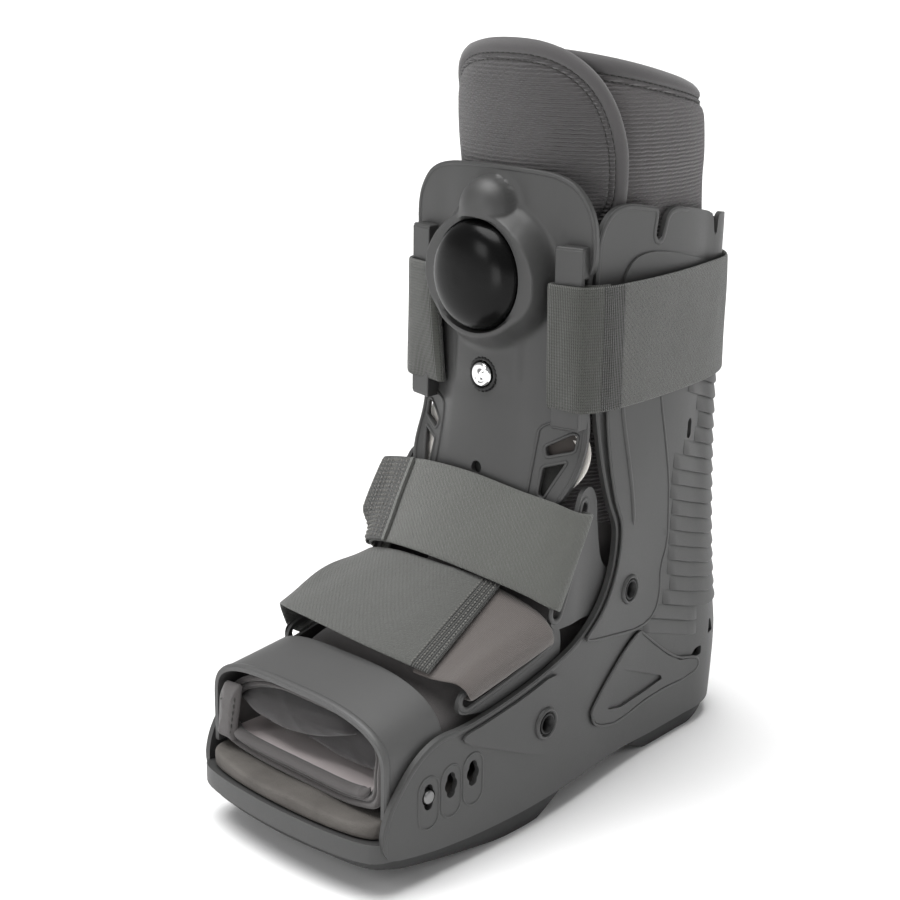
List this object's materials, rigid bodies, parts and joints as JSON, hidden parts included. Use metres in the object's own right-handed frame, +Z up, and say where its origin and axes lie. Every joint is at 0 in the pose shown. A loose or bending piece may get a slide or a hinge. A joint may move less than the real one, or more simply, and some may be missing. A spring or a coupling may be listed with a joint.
{
  "type": "medical walking boot",
  "caption": "Rigid orthopaedic walking boot with a padded liner, front panel with an air pump and release valve, toe guard and hook-and-loop straps.",
  "frame": {"origin": "middle of the bounding box's bottom, on the ground between toe and heel", "axes": "+Z up along the leg, -Y to the toes, +Y to the heel, +X to the right seen from the toes"},
  "size_m": [0.126, 0.2977, 0.3614],
  "materials": {
    "grey_plastic": "satin moulded plastic",
    "sole_rubber": "matt rubber",
    "foam": "soft closed-cell foam",
    "knit": "ribbed knit over padding",
    "webbing": "looped hook-and-loop strap",
    "tab_fabric": "close woven tab",
    "black_rubber": "glossy black rubber",
    "black_metal": "black coated metal",
    "chrome_metal": "polished chrome",
    "off_white_film": "soft off-white film",
    "light_metal": "plain light metal"
  },
  "bodies": {
    "boot": {"shell": "grey_plastic", "outsole_forefoot": "sole_rubber", "outsole_heel": "sole_rubber", "insole": "foam", "liner": "knit", "liner_front_flap": "knit", "front_panel": "grey_plastic", "air_cell": "off_white_film", "pump_bulb": "black_rubber", "valve_collar": "black_metal", "toe_guard": "grey_plastic", "toe_stud_left": "light_metal", "toe_stud_right": "light_metal", "ankle_loop_left": "grey_plastic", "ankle_loop_right": "grey_plastic", "instep_loop_left": "grey_plastic", "instep_loop_right": "grey_plastic", "rivet_ankle_left": "black_metal", "rivet_ankle_right": "black_metal", "rivet_instep_left": "black_metal", "rivet_instep_right": "black_metal", "calf_strap": "webbing", "ankle_strap": "webbing", "instep_strap": "webbing", "instep_strap_tab": "tab_fabric"},
    "valve": {"valve_button": "chrome_metal"}
  },
  "joints": [
    {"name": "valve_press", "type": "slide", "parent": "boot", "child": "valve", "axis": [0, 1, 0], "range_m": [0, 0.0015], "stiffness_N_per_m": 600}
  ]
}
